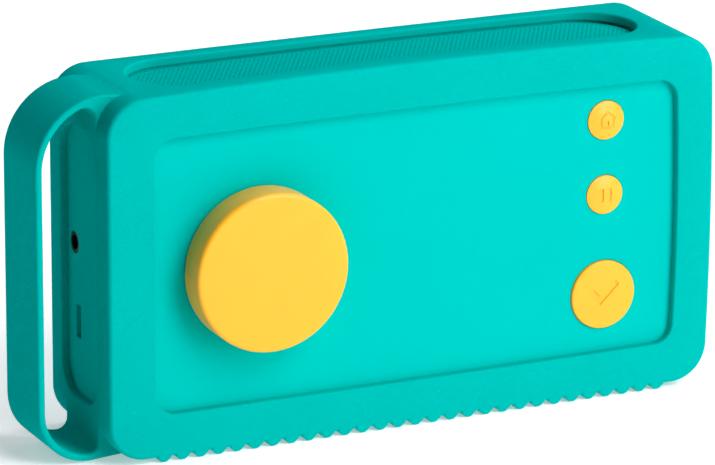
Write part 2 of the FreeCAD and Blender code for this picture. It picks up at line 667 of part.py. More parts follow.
def disc(radius, centre, y0, y1):
    """A round plate across Y about a centre given as (X, Z)."""
    low, high = min(y0, y1), max(y0, y1)
    return rod(radius, (centre[0], low, centre[1]), (centre[0], high, centre[1]))


def shaft_end(radius, centre, y0, y1):
    """A round bar across Y with a flat along its upper side."""
    flat = block((centre[0] - radius, min(y0, y1) - 1, centre[1] + radius * 0.5),
                 (centre[0] + radius, max(y0, y1) + 1, centre[1] + radius * 2))
    return disc(radius, centre, y0, y1).cut(flat)


def encoder_shaft():
    """The dial's metal shaft, round in its bushing and flatted inside the hub."""
    centre = (DIAL_X, DIAL_Z)
    hub_end = PANEL - BUSHING_OUT - 0.4
    return disc(SHAFT_R, centre, BOARD_FRONT - 1.5, hub_end).fuse(
        shaft_end(SHAFT_R, centre, hub_end, PANEL - DIAL_H + 1.2)).removeSplitter()


def encoder_body():
    """The rotary encoder's housing on the main board, with its threaded bushing."""
    centre = (DIAL_X, DIAL_Z)
    low = (DIAL_X - 6.5, INSIDE_FRONT + FIT, DIAL_Z - 6)
    can = rounded_block(low, (DIAL_X + 6.5, BOARD_FRONT, DIAL_Z + 6), Y, 0.8)
    body = joined([can, disc(BUSHING_R, centre, INSIDE_FRONT + 1, PANEL - BUSHING_OUT)])
    return body.cut(disc(SHAFT_R + RUNNING, centre, BOARD_FRONT - 1.2, PANEL - BUSHING_OUT - 1))


def panel_nut(place, outward):
    """A hexagonal nut that clamps a bushing, on an axis that points outwards from the case."""
    start = V(*place) + outward * (WASHER_T + FIT)
    end = start + outward * NUT_T
    nut = hexagon(NUT_ACROSS, start, end)
    return nut.cut(rod(BUSHING_R + 0.02, start - outward, end + outward))


def panel_washer(place, outward):
    start = V(*place) + outward * FIT
    return tube(WASHER_R, BUSHING_R + 0.1, start, start + outward * WASHER_T)


# ---------------------------------------------------------------- push buttons

def button_cap(x, z, radius, rim, bulge, sign):
    """A push button: domed cap, hidden flange and stem, with its sign sunk into the face."""
    centre = (x, z)
    edge = PANEL - rim
    flange_y = INSIDE_FRONT + 0.2
    cap = disc(radius, centre, edge, flange_y + 0.5)
    if rim > 0.5:
        cap = soften(cap, 0.5, edges_at(cap, "y", edge))
        top = dome(radius - 0.5, edge + 0.01, bulge, x, z)
    else:
        top = dome(radius, edge + 0.01, bulge, x, z)
    flange = disc(radius + FLANGE, centre, flange_y, flange_y + 0.9)
    stem = disc(1.6, centre, flange_y + 0.5, STEM_END)
    body = joined([cap, top, flange, stem])
    floor = edge - bulge + SIGN_DEPTH
    sign = sign.copy()
    sign.translate(V(x, floor - 3, z))
    return body.cut(sign)


def prism(points, thickness=3.0):
    """A plate across Y from an outline given as (X, Z) points, from Y = 0 backwards."""
    corners = [V(x, 0, z) for x, z in points]
    return Part.Face(Part.makePolygon(corners + corners[:1])).extrude(Y * thickness)


def house_sign():
    """A plain house outline with a door."""
    outer = [(-2.0, -1.9), (2.0, -1.9), (2.0, 0.4), (2.7, 0.4), (0.0, 2.6), (-2.7, 0.4), (-2.0, 0.4)]
    inner = [(-1.4, -1.3), (1.4, -1.3), (1.4, 0.7), (0.0, 1.8), (-1.4, 0.7)]
    door = [(-0.45, -1.5), (0.45, -1.5), (0.45, -0.1), (-0.45, -0.1)]
    return prism(outer).cut(prism(inner)).fuse(prism(door))


def pause_sign():
    bars = [rounded_block((x - 0.5, 0, -1.7), (x + 0.5, 3, 1.7), Y, 0.3) for x in (-1.1, 1.1)]
    return Part.makeCompound(bars)


def tick_sign():
    """A tick mark with strokes of even width."""
    points = [(-3.9, 0.3), (-2.7, 1.5), (-1.0, -0.2), (3.1, 3.6), (4.2, 2.4), (-1.0, -2.6)]
    return prism(points)


SIGNS = {"home": house_sign, "pause": pause_sign, "confirm": tick_sign}


def switch_plunger(x, z):
    return disc(PLUNGER_R, (x, z), STEM_END, STEM_END + 1.4)


def switch_body(x, z):
    """A small square switch on the main board, with a round well for its plunger."""
    half = SWITCH_SIZE / 2
    front = BOARD_FRONT - SWITCH_H
    body = rounded_block((x - half, front, z - half), (x + half, BOARD_FRONT, z + half), Y, 0.4)
    return body.cut(disc(PLUNGER_R + 0.1, (x, z), front - 1, front + 1.4))


# ---------------------------------------------------------------- volume knob

def volume_knob():
    """The small knob on the right side, a cup with a hub and a fluted rim."""
    start, tip = SIDE_FACE + 0.6, VOLUME_TIP
    body = rod(VOLUME_R, (start, 0, VOLUME_Z), (tip, 0, VOLUME_Z))
    body = soften(body, 0.8, edges_at(body, "x", tip))
    ceiling = tip - 1.6
    body = body.cut(rod(VOLUME_R - 1.6, (start - 1, 0, VOLUME_Z), (ceiling, 0, VOLUME_Z)))
    hub_end = SIDE_FACE + BUSHING_OUT + 0.5
    hub = rod(4.6, (hub_end, 0, VOLUME_Z), (ceiling + 0.5, 0, VOLUME_Z))
    body = joined([body, hub])
    flutes = []
    for k in range(24):
        turn = math.radians(15 * k)
        y, z = (VOLUME_R + 0.25) * math.cos(turn), VOLUME_Z + (VOLUME_R + 0.25) * math.sin(turn)
        flutes.append(rod(0.5, (start + 1.0, y, z), (tip - 1.2, y, z)))
    body = body.cut(Part.makeCompound(flutes))
    body = body.cut(rod(SHAFT_R + 0.02, (hub_end - 1, 0, VOLUME_Z), (tip - 0.9, 0, VOLUME_Z)))
    mark = rounded_block((tip - 0.25, -0.45, VOLUME_Z + 3.0), (tip + 1, 0.45, VOLUME_Z + 6.6), X, 0.4)
    return body.cut(mark)


def volume_shaft():
    return rod(SHAFT_R, (SIDE_FACE - 7.0, 0, VOLUME_Z), (VOLUME_TIP - 1.0, 0, VOLUME_Z))


def volume_control():
    """The potentiometer behind the right side wall, with its threaded bushing."""
    back, front = POT_BACK, INSIDE_RIGHT + SIDE_CROWN - FIT * 2
    can = rounded_block((back, -5, VOLUME_Z - 5.5), (front, 5, VOLUME_Z + 5.5), X, 1.0)
    body = joined([can, rod(BUSHING_R, (front - 1, 0, VOLUME_Z), (SIDE_FACE + BUSHING_OUT, 0, VOLUME_Z))])
    bore_end = SIDE_FACE - 7.3
    return body.cut(rod(SHAFT_R + RUNNING, (bore_end, 0, VOLUME_Z), (VOLUME_TIP, 0, VOLUME_Z)))


def volume_board():
    return rounded_block((POT_BACK - BOARD_T, -8, VOLUME_Z - 10), (POT_BACK, 8, VOLUME_Z + 10), X, 1.0)


# ---------------------------------------------------------------- electronics

def main_board():
    """The main circuit board, with an ear behind the home button and holes for its screws."""
    board = rounded_block((BOARD_X[0], BOARD_FRONT, BOARD_Z[0]), (BOARD_X[1], BOARD_REAR, BOARD_Z[1]), Y, 1.5)
    ear = rounded_block((42, BOARD_FRONT, BOARD_Z[1] - 5), (BOARD_X[1] - 0.5, BOARD_REAR, 78), Y, 1.5)
    board = joined([board, ear])
    for x, z in BOARD_SCREWS:
        board = board.cut(disc(PILOT_R + 0.2, (x, z), BOARD_FRONT - 1, BOARD_REAR + 1))
    return board


def on_board(x, z, width, height, thickness, corner=0.3):
    """A part with square sides on the rear face of the main board, about a centre."""
    return rounded_block((x - width / 2, BOARD_REAR, z - height / 2),
                         (x + width / 2, BOARD_REAR + thickness, z + height / 2), Y, corner)


def board_chips():
    """Processor, memory, amplifier, charger and the small parts round them."""
    chips = [on_board(-14, 42, 12, 12, 1.4), on_board(-14, 25, 11, 8, 1.2), on_board(6, 58, 5, 5, 1.0),
             on_board(-38, 24, 4, 4, 1.0), on_board(-28, 55, 6, 6, 3.0, 1.0), on_board(-2, 24, 3.2, 2.5, 0.9)]
    for k in range(8):
        chips.append(on_board(-24 + 2.4 * k, 33.0, 1.0, 1.8, 0.7, 0.1))
    for k in range(6):
        chips.append(on_board(-4, 36 + 2.6 * k, 1.8, 1.0, 0.7, 0.1))
    return Part.makeCompound(chips)


def card_socket():
    """The folded metal shell that holds the memory card."""
    shell = on_board(CARD_X, CARD_Z, 14, 15, 1.9)
    room = block((CARD_X - 5.6, BOARD_REAR + 0.3, CARD_Z - 6.5),
                 (CARD_X + 5.6, BOARD_REAR + 1.5, CARD_Z + 8))
    return shell.cut(room)


def memory_card():
    """A small memory card in its socket behind the main board."""
    low = (CARD_X - 5.5, BOARD_REAR + 0.4, CARD_Z - 6.2)
    return rounded_block(low, (CARD_X + 5.5, BOARD_REAR + 1.4, CARD_Z + 8.8), Y, 0.8)


def lead_plug(x, z, along):
    """A white two-way wire connector on the main board, long side along X or Z."""
    width, height = (8.0, 5.5) if along == "x" else (5.5, 8.0)
    return on_board(x, z, width, height, 4.0, 0.4)


def screen_glass():
    y = INSIDE_FRONT + 0.1
    w, h = GLASS[0] / 2 - 1, GLASS[1] / 2 - 1
    return rounded_block((SCREEN_X - w, y, SCREEN_Z - h), (SCREEN_X + w, y + GLASS_T, SCREEN_Z + h), Y, 0.5)


def screen_backlight():
    """The plastic frame and light guide behind the screen glass."""
    y = INSIDE_FRONT + 0.1
    w, h = GLASS[0] / 2, GLASS[1] / 2
    frame = rounded_block((SCREEN_X - w, y, SCREEN_Z - h),
                          (SCREEN_X + w, y + GLASS_T + BACKLIGHT_T, SCREEN_Z + h), Y, 0.8)
    seat = rounded_block((SCREEN_X - w + 0.95, y - 1, SCREEN_Z - h + 0.95),
                         (SCREEN_X + w - 0.95, y + GLASS_T, SCREEN_Z + h - 0.95), Y, 0.5)
    return frame.cut(seat)


def screen_ribbon():
    """The flat film cable that folds from the screen's lower edge back to the main board."""
    t, width, bend = 0.2, 18.0, 2.0
    x0 = SCREEN_X - width / 2
    y0 = INSIDE_FRONT + GLASS_T + 1.2
    z_top, z_low = SCREEN_Z - GLASS[1] / 2, 19.0
    drop = block((x0, y0, z_low + bend), (x0 + width, y0 + t, z_top))
    run = block((x0, y0 + bend, z_low), (x0 + width, BOARD_FRONT - 1.0, z_low + t))
    centre = V(x0, y0 + bend, z_low + bend)
    elbow = Part.makeCylinder(bend, width, centre, X).cut(Part.makeCylinder(bend - t, width, centre, X))
    elbow = elbow.common(block((x0 - 1, y0 - 1, z_low - 1), (x0 + width + 1, y0 + bend, z_low + bend)))
    return joined([drop, elbow, run])


def ribbon_socket():
    """The flat connector on the board's front that the film cable plugs into."""
    low = (SCREEN_X - 10.5, BOARD_FRONT - 1.0, 17.5)
    return rounded_block(low, (SCREEN_X + 10.5, BOARD_FRONT, 21.5), Y, 0.3)


def battery_pack():
    """The flat rechargeable cell in its tray on the rear cover."""
    cell = block((BATTERY_X[0], BATTERY_Y[0], BATTERY_Z[0]), (BATTERY_X[1], BATTERY_Y[1], BATTERY_Z[1]))
    return soften(cell, 1.5, cell.Edges)


def battery_tape():
    return block((BATTERY_X[0] + 12, BATTERY_Y[1], BATTERY_Z[0] + 6),
                 (BATTERY_X[1] - 12, CASE_SPLIT, BATTERY_Z[1] - 6))


def lead(points, bend):
    """A thin wire along straight runs that are joined by tangent arcs."""
    points = [V(*p) for p in points]
    edges = []
    start = points[0]
    for before, corner, after in zip(points, points[1:], points[2:]):
        inward, outward = (corner - before).normalize(), (after - corner).normalize()
        half = inward.getAngle(outward) / 2
        reach = bend * math.tan(half)
        a, b = corner - inward * reach, corner + outward * reach
        middle = (outward - inward).normalize()
        mid = corner + middle * (bend / math.cos(half) - bend)
        edges.append(Part.LineSegment(start, a).toShape())
        edges.append(Part.Arc(a, mid, b).toShape())
        start = b
    edges.append(Part.LineSegment(start, points[-1]).toShape())
    path = Part.Wire(edges)
    ring = Part.Wire(Part.makeCircle(LEAD_R, points[0], points[1] - points[0]))
    return path.makePipeShell([ring], True, False)


def speaker_leads():
    """Two wires from the driver's underside to the main board."""
    wires = []
    for k, side in enumerate((-0.65, 0.65)):
        start = (14 + side, 5, DRIVER_TOP - 7.8)
        wires.append(lead([start, (14 + side, 5, 72), (21 + side, -4.4, 65), (21 + side, -4.4, 59)], 3.0))
    return Part.makeCompound(wires)


def battery_leads():
    """Two wires from the cell's lower edge to the main board."""
    wires = []
    for side in (-0.65, 0.65):
        wires.append(lead([(-14, 8.0 + side, BATTERY_Z[0]), (-14, 8.0 + side, 17.6), (-19, -4.4, 17.6 + side),
                           (-26, -4.4, 17.6 + side)], 2.5))
    return Part.makeCompound(wires)


def board_screws():
    screws = []
    for x, z in BOARD_SCREWS:
        screws.append(screw((x, BOARD_REAR, z), Y * -1, 2.0, 1.2, PILOT_R, 6.0))
    return Part.makeCompound(screws)


# ---------------------------------------------------------------- sockets

def socket_board():
    front = PORT_BOARD_Y - BOARD_T
    return block((INSIDE_LEFT + 0.1, front, PORT_BOARD_Z[0]), (-58, PORT_BOARD_Y, PORT_BOARD_Z[1]))


def headphone_jack():
    """The 3.5 mm socket: a moulded block with a round nose that reaches the case's outer face."""
    back = CASE_LEFT + 16.0
    low = (INSIDE_LEFT + 0.1, PORT_BOARD_Y, JACK_Z - 4)
    body = rounded_block(low, (back, JACK_Y + 3.8, JACK_Z + 4), X, 0.5)
    nose = rod(JACK_NOSE_R, (CASE_LEFT + 0.1, JACK_Y, JACK_Z), (INSIDE_LEFT + 1, JACK_Y, JACK_Z))
    nose = soften(nose, 0.3, edges_at(nose, "x", CASE_LEFT + 0.1))
    bore = rod(JACK_BORE_R, (CASE_LEFT, JACK_Y, JACK_Z), (CASE_LEFT + 0.1 + JACK_BORE_DEPTH, JACK_Y, JACK_Z))
    return joined([body, nose]).cut(bore)


def usb_box(inset, x0, x1):
    half_t, half_w = USB_T / 2 - inset, USB_W / 2 - inset
    low = (x0, USB_Y - half_t, USB_Z - half_w)
    return rounded_block(low, (x1, USB_Y + half_t, USB_Z + half_w), X, half_t - 0.05)


def usb_socket():
    """The charging socket's metal shell, open to the left."""
    mouth = CASE_LEFT + USB_DEPTH
    return usb_box(0, mouth, mouth + 7.3).cut(usb_box(0.3, mouth - 1, mouth + 6.6))


def usb_tongue():
    """The contact tongue inside the charging socket."""
    mouth = CASE_LEFT + USB_DEPTH
    return block((mouth + 0.9, USB_Y - 0.35, USB_Z - 3.3), (mouth + 6.6, USB_Y + 0.35, USB_Z + 3.3))


def main():
    os.makedirs("parts", exist_ok=True)
    dial_seat = (DIAL_X, PANEL, DIAL_Z)
    volume_seat = (SIDE_FACE, 0, VOLUME_Z)
    nodes = {
        "silicone_sleeve": sleeve(), "front_shell": front_shell(), "rear_cover": rear_cover(),
        "case_screws": case_screws(),
        "speaker_grille": speaker_grille(), "grille_cloth": grille_cloth(),
        "speaker_gasket": speaker_gasket(), "speaker_basket": speaker_basket(),
        "speaker_surround": speaker_surround(), "speaker_cone": speaker_cone(),
        "speaker_magnet": speaker_magnet(), "speaker_yoke": speaker_yoke(),
        "selector_dial": selector_dial(), "encoder_shaft": encoder_shaft(), "encoder_body": encoder_body(),
        "encoder_nut": panel_nut(dial_seat, Y * -1), "encoder_washer": panel_washer(dial_seat, Y * -1),
        "volume_knob": volume_knob(), "volume_shaft": volume_shaft(), "volume_control": volume_control(),
        "volume_nut": panel_nut(volume_seat, X), "volume_washer": panel_washer(volume_seat, X),
        "volume_board": volume_board(),
        "main_board": main_board(), "board_chips": board_chips(), "board_screws": board_screws(),
        "card_socket": card_socket(), "memory_card": memory_card(),
        "speaker_plug": lead_plug(21, 56.25, "x"), "battery_plug": lead_plug(-30, 17.6, "x"),
        "speaker_leads": speaker_leads(), "battery_leads": battery_leads(),
        "screen_glass": screen_glass(), "screen_backlight": screen_backlight(),
        "screen_ribbon": screen_ribbon(), "ribbon_socket": ribbon_socket(),
        "battery_pack": battery_pack(), "battery_tape": battery_tape(),
        "socket_board": socket_board(), "headphone_jack": headphone_jack(),
        "usb_socket": usb_socket(), "usb_tongue": usb_tongue(),
    }
    for name, x, z, radius, rim, bulge in BUTTONS:
        nodes[name + "_button"] = button_cap(x, z, radius, rim, bulge, SIGNS[name]())
        nodes[name + "_plunger"] = switch_plunger(x, z)
        nodes[name + "_switch"] = switch_body(x, z)
    for name, shape in nodes.items():
        save(name, shape)


main()
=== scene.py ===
"""Looks, light and camera for a children's audio player in a soft silicone sleeve."""

import json
import math

import bmesh
import bpy
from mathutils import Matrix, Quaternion, Vector
from mathutils.geometry import delaunay_2d_cdt
from mathutils.kdtree import KDTree


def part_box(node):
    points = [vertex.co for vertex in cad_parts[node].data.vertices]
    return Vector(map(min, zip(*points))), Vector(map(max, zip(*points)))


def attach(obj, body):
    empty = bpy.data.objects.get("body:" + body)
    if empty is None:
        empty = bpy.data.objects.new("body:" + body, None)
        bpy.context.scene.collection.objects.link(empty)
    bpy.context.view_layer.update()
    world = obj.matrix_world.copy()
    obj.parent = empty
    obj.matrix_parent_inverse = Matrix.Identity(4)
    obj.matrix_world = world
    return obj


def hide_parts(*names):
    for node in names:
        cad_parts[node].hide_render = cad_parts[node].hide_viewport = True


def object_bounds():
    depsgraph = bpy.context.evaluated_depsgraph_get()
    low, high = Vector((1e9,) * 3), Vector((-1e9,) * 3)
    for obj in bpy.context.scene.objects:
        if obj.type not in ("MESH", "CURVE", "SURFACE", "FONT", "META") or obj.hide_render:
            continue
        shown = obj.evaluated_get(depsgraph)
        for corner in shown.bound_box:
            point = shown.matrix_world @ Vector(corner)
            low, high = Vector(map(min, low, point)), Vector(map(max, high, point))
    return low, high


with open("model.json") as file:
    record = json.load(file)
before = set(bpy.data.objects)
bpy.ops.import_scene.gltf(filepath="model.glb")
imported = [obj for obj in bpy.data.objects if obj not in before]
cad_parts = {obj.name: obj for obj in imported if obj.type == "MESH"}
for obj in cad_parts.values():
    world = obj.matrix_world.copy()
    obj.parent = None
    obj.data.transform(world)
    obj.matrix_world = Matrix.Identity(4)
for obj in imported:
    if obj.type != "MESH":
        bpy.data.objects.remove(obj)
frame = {"nodes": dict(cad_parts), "record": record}
CAD_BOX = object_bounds()
MM = 0.001
WHITE = (1.0, 1.0, 1.0)


# ---------------------------------------------------------------- small helpers

def srgb(red, green, blue):
    """A colour given as 0 to 255 screen values, as the linear values that shaders take."""
    def linear(value):
        value /= 255
        return value / 12.92 if value <= 0.04045 else ((value + 0.055) / 1.055) ** 2.4
    return linear(red), linear(green), linear(blue), 1.0


def shade(colour, factor):
    """The same colour, darker or lighter by a factor."""
    return tuple(min(1.0, c * factor) for c in colour[:3]) + (1.0,)


def placed(name, data):
    """A new object in the scene."""
    item = bpy.data.objects.new(name, data)
    bpy.context.scene.collection.objects.link(item)
    return item


WAVE_PERIOD = math.pi / 10   # metres between the waves of a wave texture whose scale is 1


class Look:
    """A material under construction, with short names for the nodes that the finishes share."""

    def __init__(self, name):
        self.material = bpy.data.materials.new(name)
        self.material.use_nodes = True
        self.tree = self.material.node_tree
        self.shader = self.tree.nodes["Principled BSDF"]
        self.place = self.node("ShaderNodeTexCoord").outputs["Object"]

    def node(self, kind, **settings):
        made = self.tree.nodes.new(kind)
        for key, value in settings.items():
            setattr(made, key, value)
        return made

    def put(self, node, key, value):
        """Sets the input with this name or number to a value, or joins it to another node's output."""
        socket = node.inputs[key]
        if isinstance(value, bpy.types.NodeSocket):
            self.tree.links.new(value, socket)
        else:
            socket.default_value = value

    def set(self, **values):
        """Uniform values of the shader's own sockets, with _ for a space in their names."""
        for key, value in values.items():
            self.shader.inputs[key.replace("_", " ")].default_value = value

    def stretched(self, stretch, turn=(0, 0, 0)):
        """The object's coordinates, scaled, and turned by degrees."""
        mapping = self.node("ShaderNodeMapping")
        self.put(mapping, "Vector", self.place)
        self.put(mapping, "Scale", stretch)
        self.put(mapping, "Rotation", [math.radians(a) for a in turn])
        return mapping.outputs["Vector"]

    def noise(self, size, detail=2.0, stretch=(1, 1, 1), turn=(0, 0, 0)):
        """Cloudy noise whose blobs are about size millimetres across."""
        texture = self.node("ShaderNodeTexNoise")
        self.put(texture, "Vector", self.stretched(stretch, turn))
        self.put(texture, "Scale", 1 / (size * MM))
        self.put(texture, "Detail", detail)
        return texture.outputs["Fac"]

    def cells(self, size, feature="F1", stretch=(1, 1, 1)):
        """Distances in a pattern of cells about size millimetres across."""
        texture = self.node("ShaderNodeTexVoronoi", feature=feature)
        self.put(texture, "Vector", self.stretched(stretch))
        self.put(texture, "Scale", 1 / (size * MM))
        return texture.outputs["Distance"]

    def waves(self, size, axis, wobble=0.0):
        """Parallel waves that repeat every size millimetres."""
        texture = self.node("ShaderNodeTexWave", wave_type="BANDS", bands_direction=axis)
        self.put(texture, "Vector", self.place)
        self.put(texture, "Scale", WAVE_PERIOD / (size * MM))
        self.put(texture, "Distortion", wobble)
        return texture.outputs["Fac"]

    def span(self, value, low, high, to_low=0.0, to_high=1.0):
        """Maps a value from one range to another and clamps it."""
        node = self.node("ShaderNodeMapRange")
        self.put(node, "Value", value)
        for name, number in (("From Min", low), ("From Max", high), ("To Min", to_low), ("To Max", to_high)):
            self.put(node, name, number)
        return node.outputs["Result"]

    def combined(self, operation, a, b):
        """Two values joined by a math node's operation."""
        node = self.node("ShaderNodeMath", operation=operation)
        self.put(node, 0, a)
        self.put(node, 1, b)
        return node.outputs[0]

    def mix(self, factor, a, b):
        """A colour between a and b. In colour mode a mix node uses inputs 0, 6 and 7 and output 2."""
        node = self.node("ShaderNodeMix", data_type="RGBA")
        for index, value in ((0, factor), (6, a), (7, b)):
            self.put(node, index, value)
        return node.outputs[2]

    def colour(self, value):
        self.put(self.shader, "Base Color", value)

    def roughness(self, value):
        self.put(self.shader, "Roughness", value)

    def tinted_gloss(self):
        """Faint turquoise highlights instead of white ones, as on strongly dyed matte surfaces."""
        self.set(Specular_IOR_Level=0.0, Metallic=0.06, Specular_Tint=(0.0, 1.0, 1.0, 1.0))

    def relief(self, *layers):
        """Bump from (height, depth in millimetres) layers, one on top of the other."""
        below = None
        for height, depth in layers:
            bump = self.node("ShaderNodeBump")
            self.put(bump, "Distance", depth * MM)
            self.put(bump, "Strength", 1.0)
            self.put(bump, "Height", height)
            if below:
                self.put(bump, "Normal", below)
            below = bump.outputs["Normal"]
        self.put(self.shader, "Normal", below)


# ---------------------------------------------------------------- finishes

TURQUOISE = srgb(0, 170, 163)
PANEL_TURQUOISE = srgb(0, 181, 174)
GRILLE_TURQUOISE = srgb(0, 172, 165)
YELLOW = srgb(252, 177, 36)


def mottled(look, tint, spread=0.05, size=9.0):
    """A moulded colour that is a little uneven, as pigment in plastic is."""
    clouds = look.span(look.noise(size, 3.0), 0.3, 0.7)
    flecks = look.span(look.noise(0.35, 1.0), 0.3, 0.7, 0.0, 0.25)
    base = look.mix(clouds, shade(tint, 1 - spread), shade(tint, 1 + spread))
    return look.mix(flecks, base, shade(tint, 1 - 2 * spread))


def handled(look, roughness):
    """The uneven gloss of hard plastic that hands have rubbed."""
    look.roughness(look.span(look.noise(11.0, 5.0), 0.35, 0.65, roughness - 0.05, roughness + 0.06))


def silicone():
    """Soft satin silicone with a very fine blasted surface and faint dust."""
    look = Look("turquoise_silicone")
    dust = look.span(look.cells(1.7), 0.055, 0.03, 0.0, 0.10)
    look.colour(look.mix(dust, mottled(look, TURQUOISE, 0.02, 25.0), srgb(205, 236, 232)))
    look.roughness(look.span(look.noise(6.0, 4.0), 0.3, 0.7, 0.50, 0.62))
    look.set(Subsurface_Weight=0.12, Subsurface_Scale=0.8 * MM, Subsurface_Radius=(0.25, 1.0, 0.9))
    look.tinted_gloss()
    look.relief((look.noise(0.22, 2.0), 0.012), (look.noise(3.5, 2.0), 0.020))
    return look.material


def moulded(name, tint, roughness, grain, depth, specular, glow=0.0, spread=0.05, polish=0.0):
    """Hard moulded plastic with a spark-eroded grain."""
    look = Look(name)
    look.colour(mottled(look, tint, spread))
    handled(look, roughness)
    look.set(Specular_IOR_Level=specular, Subsurface_Weight=glow, Subsurface_Scale=0.6 * MM,
             Coat_Weight=polish, Coat_Roughness=0.24)
    scratches = look.span(look.noise(0.6, 1.0, (1.0, 1.0, 0.04), (25, 40, 10)), 0.62, 0.74)
    look.relief((look.cells(grain), depth), (scratches, -depth * 0.6))
    return look.material


def turquoise_moulded(name, tint, roughness, grain, depth):
    """The case's plastic: the same moulding, dyed as evenly and deeply as the sleeve."""
    look = Look(name)
    look.colour(mottled(look, tint, 0.015, 30.0))
    handled(look, roughness)
    look.set(Subsurface_Weight=0.05, Subsurface_Scale=0.6 * MM)
    look.tinted_gloss()
    look.relief((look.cells(grain), depth))
    return look.material


def plated(name, tint, roughness):
    """Plated steel with fine drawn lines and a few dull patches."""
    look = Look(name)
    lines = look.noise(0.12, 2.0, (0.05, 1, 1))
    patches = look.noise(4.0, 4.0)
    look.colour(look.mix(look.span(patches, 0.3, 0.7), shade(tint, 0.86), tint))
    look.roughness(look.combined("ADD", look.span(lines, 0.3, 0.7, roughness - 0.08, roughness + 0.1),
                                 look.span(patches, 0.45, 0.75, 0.0, 0.12)))
    look.set(Metallic=1.0)
    look.relief((lines, 0.006))
    return look.material


def circuit_board():
    """Green solder resist over copper tracks and pads."""
    look = Look("green_board")
    across = look.span(look.cells(3.1, "DISTANCE_TO_EDGE", (1, 1, 0.45)), 0.05, 0.08)
    along = look.span(look.cells(4.7, "DISTANCE_TO_EDGE", (0.35, 1, 1)), 0.03, 0.05)
    track = look.combined("MULTIPLY", across, along)
    resist = mottled(look, srgb(12, 92, 56), 0.08, 5.0)
    green = look.mix(track, srgb(24, 128, 78), resist)
    via = look.span(look.cells(2.6), 0.10, 0.08)
    look.colour(look.mix(via, green, srgb(214, 178, 104)))
    look.roughness(look.span(look.noise(2.0), 0.3, 0.7, 0.28, 0.42))
    look.set(Specular_IOR_Level=0.5, Coat_Weight=0.2)
    look.relief((track, -0.02), (look.noise(0.5, 2.0), 0.01))
    return look.material


def foam():
    look = Look("black_foam")
    pores = look.cells(0.45)
    look.colour(look.mix(pores, srgb(20, 20, 21), srgb(52, 52, 54)))
    look.roughness(look.span(pores, 0, 1, 0.8, 0.98))
    look.relief((pores, 0.12))
    return look.material


def soft_rubber():
    look = Look("black_rubber")
    clouds = look.noise(2.0, 3.0)
    look.colour(look.mix(clouds, srgb(22, 22, 23), srgb(40, 40, 42)))
    look.roughness(look.span(clouds, 0.3, 0.7, 0.55, 0.7))
    look.relief((look.noise(0.2), 0.01))
    return look.material


def woven_cloth():
    """Thin plain-woven dust cloth."""
    look = Look("black_cloth")
    weave = look.combined("MULTIPLY", look.waves(0.5, "X", 0.6), look.waves(0.5, "Y", 0.6))
    look.colour(look.mix(weave, srgb(9, 26, 25), srgb(26, 50, 49)))
    look.roughness(look.span(weave, 0, 1, 0.95, 0.8))
    look.set(Sheen_Weight=0.1)
    look.relief((weave, 0.08))
    return look.material


def pressed_paper():
    """Black paper pulp with long fibres."""
    look = Look("black_paper")
    fibres = look.noise(0.6, 4.0, (1, 0.2, 1), (0, 0, 35))
    look.colour(look.mix(fibres, srgb(18, 18, 19), srgb(66, 65, 64)))
    look.roughness(look.span(fibres, 0.3, 0.7, 0.75, 0.95))
    look.relief((fibres, 0.05))
    return look.material


def ferrite():
    look = Look("ferrite")
    grain = look.cells(0.25)
    look.colour(look.mix(grain, srgb(34, 34, 37), srgb(72, 72, 76)))
    look.roughness(look.span(look.noise(1.5), 0.3, 0.7, 0.45, 0.65))
    look.set(Metallic=0.35)
    look.relief((grain, 0.02))
    return look.material


def pouch_foil():
    """The dull aluminium laminate round a cell, creased a little."""
    look = Look("battery_foil")
    creases = look.cells(7.0, "DISTANCE_TO_EDGE")
    look.colour(look.mix(look.noise(5.0, 3.0), srgb(170, 172, 176), srgb(206, 208, 210)))
    look.roughness(look.span(look.noise(1.0, 3.0), 0.3, 0.7, 0.32, 0.5))
    look.set(Metallic=0.9)
    look.relief((look.span(creases, 0.0, 0.12), 0.05), (look.noise(0.4), 0.01))
    return look.material


def lead_insulation():
    look = Look("red_lead")
    drawn = look.noise(0.25, 2.0, (1, 1, 0.1))
    look.colour(look.mix(drawn, srgb(150, 18, 14), srgb(190, 34, 26)))
    look.roughness(look.span(drawn, 0.3, 0.7, 0.35, 0.5))
    look.relief((drawn, 0.01))
    return look.material


def film_cable():
    """Amber film over a row of flat copper conductors."""
    look = Look("amber_film")
    conductors = look.span(look.waves(1.0, "X"), 0.35, 0.5)
    look.colour(look.mix(conductors, srgb(168, 92, 22), srgb(206, 134, 60)))
    look.roughness(look.span(look.noise(2.0, 3.0), 0.3, 0.7, 0.2, 0.34))
    look.set(Coat_Weight=0.4)
    look.relief((conductors, 0.02))
    return look.material


def display_glass():
    """Dark display glass over a fine grid of picture cells."""
    look = Look("screen_glass")
    grid = look.combined("MULTIPLY", look.waves(0.2, "X"), look.waves(0.2, "Z"))
    look.colour(look.mix(grid, srgb(14, 15, 18), srgb(30, 32, 38)))
    look.roughness(look.span(look.noise(8.0, 3.0), 0.3, 0.7, 0.05, 0.12))
    look.set(Coat_Weight=0.6, IOR=1.52)
    look.relief((look.noise(6.0), 0.004))
    return look.material


